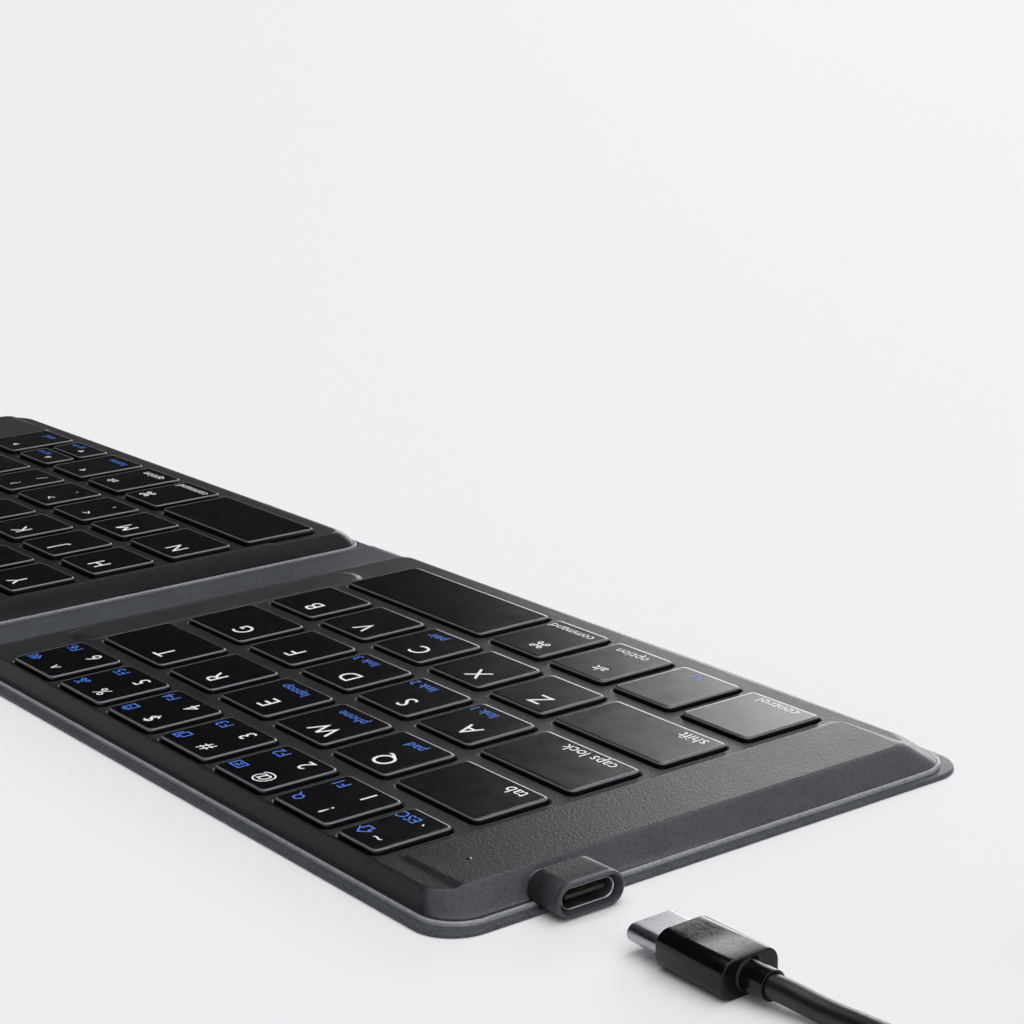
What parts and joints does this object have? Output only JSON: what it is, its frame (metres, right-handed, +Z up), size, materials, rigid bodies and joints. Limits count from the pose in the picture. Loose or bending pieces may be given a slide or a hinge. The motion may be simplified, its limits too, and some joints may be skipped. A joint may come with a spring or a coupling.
{
  "type": "folding keyboard",
  "caption": "Slim two-part folding keyboard covered in synthetic leather, with sprung keys, a charging socket at one end and its short charging lead.",
  "frame": {"origin": "on the underside of the open keyboard, midway between its two fold creases and its long edges", "axes": "+X to the typist's right along the long side, +Y to the rear edge, +Z up out of the keys"},
  "size_m": [0.4258, 0.0966, 0.0064],
  "materials": {
    "keycap_plastic": "satin black, fine speckled texture",
    "covering": "fine-grained dark grey synthetic leather",
    "underside_covering": "fine-grained dark grey synthetic leather",
    "steel_plate": "rolled",
    "membrane_film": "printed film",
    "scissor_plastic": "moulded",
    "dome_rubber": "translucent silicone",
    "cell_pouch": "laminated pouch",
    "circuit_board": "solder mask",
    "socket_metal": "plated, deep drawn",
    "barrel_plastic": "satin moulded",
    "magnet": "nickel plated",
    "ribbon_film": "polyimide film",
    "grip_plastic": "polished black",
    "plug_metal": "plated",
    "lead_jacket": "smooth flexible jacket"
  },
  "bodies": {
    "left_half": {"left_top_shell": "covering", "left_base": "underside_covering", "left_support_plate": "steel_plate", "left_membrane": "membrane_film", "left_scissor_links": "scissor_plastic", "left_rubber_domes": "dome_rubber", "battery": "cell_pouch", "main_board": "circuit_board", "usb_socket": "socket_metal", "port_barrel": "barrel_plastic", "left_magnets": "magnet"},
    "spine": {"spine": "underside_covering", "ribbon_cable": "ribbon_film"},
    "right_half": {"right_top_shell": "covering", "right_base": "underside_covering", "right_support_plate": "steel_plate", "right_membrane": "membrane_film", "right_scissor_links": "scissor_plastic", "right_rubber_domes": "dome_rubber", "right_magnets": "magnet"},
    "charging_lead": {"lead_plug_grip": "grip_plastic", "lead_plug_shell": "plug_metal", "lead_cable": "lead_jacket", "lead_coil": "lead_jacket", "lead_far_plug": "grip_plastic"},
    "key_tilde": {"key_tilde": "keycap_plastic"},
    "key_1": {"key_1": "keycap_plastic"},
    "key_2": {"key_2": "keycap_plastic"},
    "key_3": {"key_3": "keycap_plastic"},
    "key_4": {"key_4": "keycap_plastic"},
    "key_5": {"key_5": "keycap_plastic"},
    "key_6": {"key_6": "keycap_plastic"},
    "key_tab": {"key_tab": "keycap_plastic"},
    "key_q": {"key_q": "keycap_plastic"},
    "key_w": {"key_w": "keycap_plastic"},
    "key_e": {"key_e": "keycap_plastic"},
    "key_r": {"key_r": "keycap_plastic"},
    "key_t": {"key_t": "keycap_plastic"},
    "key_caps_lock": {"key_caps_lock": "keycap_plastic"},
    "key_a": {"key_a": "keycap_plastic"},
    "key_s": {"key_s": "keycap_plastic"},
    "key_d": {"key_d": "keycap_plastic"},
    "key_f": {"key_f": "keycap_plastic"},
    "key_g": {"key_g": "keycap_plastic"},
    "key_left_shift": {"key_left_shift": "keycap_plastic"},
    "key_z": {"key_z": "keycap_plastic"},
    "key_x": {"key_x": "keycap_plastic"},
    "key_c": {"key_c": "keycap_plastic"},
    "key_v": {"key_v": "keycap_plastic"},
    "key_b": {"key_b": "keycap_plastic"},
    "key_control": {"key_control": "keycap_plastic"},
    "key_fn": {"key_fn": "keycap_plastic"},
    "key_left_option": {"key_left_option": "keycap_plastic"},
    "key_left_command": {"key_left_command": "keycap_plastic"},
    "key_left_space": {"key_left_space": "keycap_plastic"},
    "right_number_row_keys": {"right_number_row_keys": "keycap_plastic"},
    "right_upper_row_keys": {"right_upper_row_keys": "keycap_plastic"},
    "right_home_row_keys": {"right_home_row_keys": "keycap_plastic"},
    "right_lower_row_keys": {"right_lower_row_keys": "keycap_plastic"},
    "right_front_row_keys": {"right_front_row_keys": "keycap_plastic"}
  },
  "joints": [
    {"name": "fold_left", "type": "hinge", "parent": "left_half", "child": "spine", "pos_m": [-0.005, 0, 0.00055], "axis": [0, -1, 0], "range_deg": [0, 90]},
    {"name": "fold_right", "type": "hinge", "parent": "spine", "child": "right_half", "pos_m": [0.005, 0, 0.00055], "axis": [0, -1, 0], "range_deg": [0, 90]},
    {"name": "lead_plug_in", "type": "slide", "parent": "left_half", "child": "charging_lead", "axis": [1, 0, 0], "range_m": [0, 0.0176]},
    {"name": "press_key_tilde", "type": "slide", "parent": "left_half", "child": "key_tilde", "axis": [0, 0, 1], "range_m": [-0.0013, 0], "stiffness_N_per_m": 300, "springref_m": 0.001, "deforming": ["left_rubber_domes", "left_scissor_links"]},
    {"name": "press_key_1", "type": "slide", "parent": "left_half", "child": "key_1", "axis": [0, 0, 1], "range_m": [-0.0013, 0], "stiffness_N_per_m": 300, "springref_m": 0.001, "deforming": ["left_rubber_domes", "left_scissor_links"]},
    {"name": "press_key_2", "type": "slide", "parent": "left_half", "child": "key_2", "axis": [0, 0, 1], "range_m": [-0.0013, 0], "stiffness_N_per_m": 300, "springref_m": 0.001, "deforming": ["left_rubber_domes", "left_scissor_links"]},
    {"name": "press_key_3", "type": "slide", "parent": "left_half", "child": "key_3", "axis": [0, 0, 1], "range_m": [-0.0013, 0], "stiffness_N_per_m": 300, "springref_m": 0.001, "deforming": ["left_rubber_domes", "left_scissor_links"]},
    {"name": "press_key_4", "type": "slide", "parent": "left_half", "child": "key_4", "axis": [0, 0, 1], "range_m": [-0.0013, 0], "stiffness_N_per_m": 300, "springref_m": 0.001, "deforming": ["left_rubber_domes", "left_scissor_links"]},
    {"name": "press_key_5", "type": "slide", "parent": "left_half", "child": "key_5", "axis": [0, 0, 1], "range_m": [-0.0013, 0], "stiffness_N_per_m": 300, "springref_m": 0.001, "deforming": ["left_rubber_domes", "left_scissor_links"]},
    {"name": "press_key_6", "type": "slide", "parent": "left_half", "child": "key_6", "axis": [0, 0, 1], "range_m": [-0.0013, 0], "stiffness_N_per_m": 300, "springref_m": 0.001, "deforming": ["left_rubber_domes", "left_scissor_links"]},
    {"name": "press_key_tab", "type": "slide", "parent": "left_half", "child": "key_tab", "axis": [0, 0, 1], "range_m": [-0.0013, 0], "stiffness_N_per_m": 300, "springref_m": 0.001, "deforming": ["left_rubber_domes", "left_scissor_links"]},
    {"name": "press_key_q", "type": "slide", "parent": "left_half", "child": "key_q", "axis": [0, 0, 1], "range_m": [-0.0013, 0], "stiffness_N_per_m": 300, "springref_m": 0.001, "deforming": ["left_rubber_domes", "left_scissor_links"]},
    {"name": "press_key_w", "type": "slide", "parent": "left_half", "child": "key_w", "axis": [0, 0, 1], "range_m": [-0.0013, 0], "stiffness_N_per_m": 300, "springref_m": 0.001, "deforming": ["left_rubber_domes", "left_scissor_links"]},
    {"name": "press_key_e", "type": "slide", "parent": "left_half", "child": "key_e", "axis": [0, 0, 1], "range_m": [-0.0013, 0], "stiffness_N_per_m": 300, "springref_m": 0.001, "deforming": ["left_rubber_domes", "left_scissor_links"]},
    {"name": "press_key_r", "type": "slide", "parent": "left_half", "child": "key_r", "axis": [0, 0, 1], "range_m": [-0.0013, 0], "stiffness_N_per_m": 300, "springref_m": 0.001, "deforming": ["left_rubber_domes", "left_scissor_links"]},
    {"name": "press_key_t", "type": "slide", "parent": "left_half", "child": "key_t", "axis": [0, 0, 1], "range_m": [-0.0013, 0], "stiffness_N_per_m": 300, "springref_m": 0.001, "deforming": ["left_rubber_domes", "left_scissor_links"]},
    {"name": "press_key_caps_lock", "type": "slide", "parent": "left_half", "child": "key_caps_lock", "axis": [0, 0, 1], "range_m": [-0.0013, 0], "stiffness_N_per_m": 300, "springref_m": 0.001, "deforming": ["left_rubber_domes", "left_scissor_links"]},
    {"name": "press_key_a", "type": "slide", "parent": "left_half", "child": "key_a", "axis": [0, 0, 1], "range_m": [-0.0013, 0], "stiffness_N_per_m": 300, "springref_m": 0.001, "deforming": ["left_rubber_domes", "left_scissor_links"]},
    {"name": "press_key_s", "type": "slide", "parent": "left_half", "child": "key_s", "axis": [0, 0, 1], "range_m": [-0.0013, 0], "stiffness_N_per_m": 300, "springref_m": 0.001, "deforming": ["left_rubber_domes", "left_scissor_links"]},
    {"name": "press_key_d", "type": "slide", "parent": "left_half", "child": "key_d", "axis": [0, 0, 1], "range_m": [-0.0013, 0], "stiffness_N_per_m": 300, "springref_m": 0.001, "deforming": ["left_rubber_domes", "left_scissor_links"]},
    {"name": "press_key_f", "type": "slide", "parent": "left_half", "child": "key_f", "axis": [0, 0, 1], "range_m": [-0.0013, 0], "stiffness_N_per_m": 300, "springref_m": 0.001, "deforming": ["left_rubber_domes", "left_scissor_links"]},
    {"name": "press_key_g", "type": "slide", "parent": "left_half", "child": "key_g", "axis": [0, 0, 1], "range_m": [-0.0013, 0], "stiffness_N_per_m": 300, "springref_m": 0.001, "deforming": ["left_rubber_domes", "left_scissor_links"]},
    {"name": "press_key_left_shift", "type": "slide", "parent": "left_half", "child": "key_left_shift", "axis": [0, 0, 1], "range_m": [-0.0013, 0], "stiffness_N_per_m": 300, "springref_m": 0.001, "deforming": ["left_rubber_domes", "left_scissor_links"]},
    {"name": "press_key_z", "type": "slide", "parent": "left_half", "child": "key_z", "axis": [0, 0, 1], "range_m": [-0.0013, 0], "stiffness_N_per_m": 300, "springref_m": 0.001, "deforming": ["left_rubber_domes", "left_scissor_links"]},
    {"name": "press_key_x", "type": "slide", "parent": "left_half", "child": "key_x", "axis": [0, 0, 1], "range_m": [-0.0013, 0], "stiffness_N_per_m": 300, "springref_m": 0.001, "deforming": ["left_rubber_domes", "left_scissor_links"]},
    {"name": "press_key_c", "type": "slide", "parent": "left_half", "child": "key_c", "axis": [0, 0, 1], "range_m": [-0.0013, 0], "stiffness_N_per_m": 300, "springref_m": 0.001, "deforming": ["left_rubber_domes", "left_scissor_links"]},
    {"name": "press_key_v", "type": "slide", "parent": "left_half", "child": "key_v", "axis": [0, 0, 1], "range_m": [-0.0013, 0], "stiffness_N_per_m": 300, "springref_m": 0.001, "deforming": ["left_rubber_domes", "left_scissor_links"]},
    {"name": "press_key_b", "type": "slide", "parent": "left_half", "child": "key_b", "axis": [0, 0, 1], "range_m": [-0.0013, 0], "stiffness_N_per_m": 300, "springref_m": 0.001, "deforming": ["left_rubber_domes", "left_scissor_links"]},
    {"name": "press_key_control", "type": "slide", "parent": "left_half", "child": "key_control", "axis": [0, 0, 1], "range_m": [-0.0013, 0], "stiffness_N_per_m": 300, "springref_m": 0.001, "deforming": ["left_rubber_domes", "left_scissor_links"]},
    {"name": "press_key_fn", "type": "slide", "parent": "left_half", "child": "key_fn", "axis": [0, 0, 1], "range_m": [-0.0013, 0], "stiffness_N_per_m": 300, "springref_m": 0.001, "deforming": ["left_rubber_domes", "left_scissor_links"]},
    {"name": "press_key_left_option", "type": "slide", "parent": "left_half", "child": "key_left_option", "axis": [0, 0, 1], "range_m": [-0.0013, 0], "stiffness_N_per_m": 300, "springref_m": 0.001, "deforming": ["left_rubber_domes", "left_scissor_links"]},
    {"name": "press_key_left_command", "type": "slide", "parent": "left_half", "child": "key_left_command", "axis": [0, 0, 1], "range_m": [-0.0013, 0], "stiffness_N_per_m": 300, "springref_m": 0.001, "deforming": ["left_rubber_domes", "left_scissor_links"]},
    {"name": "press_key_left_space", "type": "slide", "parent": "left_half", "child": "key_left_space", "axis": [0, 0, 1], "range_m": [-0.0013, 0], "stiffness_N_per_m": 300, "springref_m": 0.001, "deforming": ["left_rubber_domes", "left_scissor_links"]},
    {"name": "press_right_number_row_keys", "type": "slide", "parent": "right_half", "child": "right_number_row_keys", "axis": [0, 0, 1], "range_m": [-0.0013, 0], "stiffness_N_per_m": 2100, "springref_m": 0.001, "deforming": ["right_rubber_domes", "right_scissor_links"]},
    {"name": "press_right_upper_row_keys", "type": "slide", "parent": "right_half", "child": "right_upper_row_keys", "axis": [0, 0, 1], "range_m": [-0.0013, 0], "stiffness_N_per_m": 2100, "springref_m": 0.001, "deforming": ["right_rubber_domes", "right_scissor_links"]},
    {"name": "press_right_home_row_keys", "type": "slide", "parent": "right_half", "child": "right_home_row_keys", "axis": [0, 0, 1], "range_m": [-0.0013, 0], "stiffness_N_per_m": 2100, "springref_m": 0.001, "deforming": ["right_rubber_domes", "right_scissor_links"]},
    {"name": "press_right_lower_row_keys", "type": "slide", "parent": "right_half", "child": "right_lower_row_keys", "axis": [0, 0, 1], "range_m": [-0.0013, 0], "stiffness_N_per_m": 2100, "springref_m": 0.001, "deforming": ["right_rubber_domes", "right_scissor_links"]},
    {"name": "press_right_front_row_keys", "type": "slide", "parent": "right_half", "child": "right_front_row_keys", "axis": [0, 0, 1], "range_m": [-0.0013, 0], "stiffness_N_per_m": 2100, "springref_m": 0.001, "deforming": ["right_rubber_domes", "right_scissor_links"]}
  ]
}
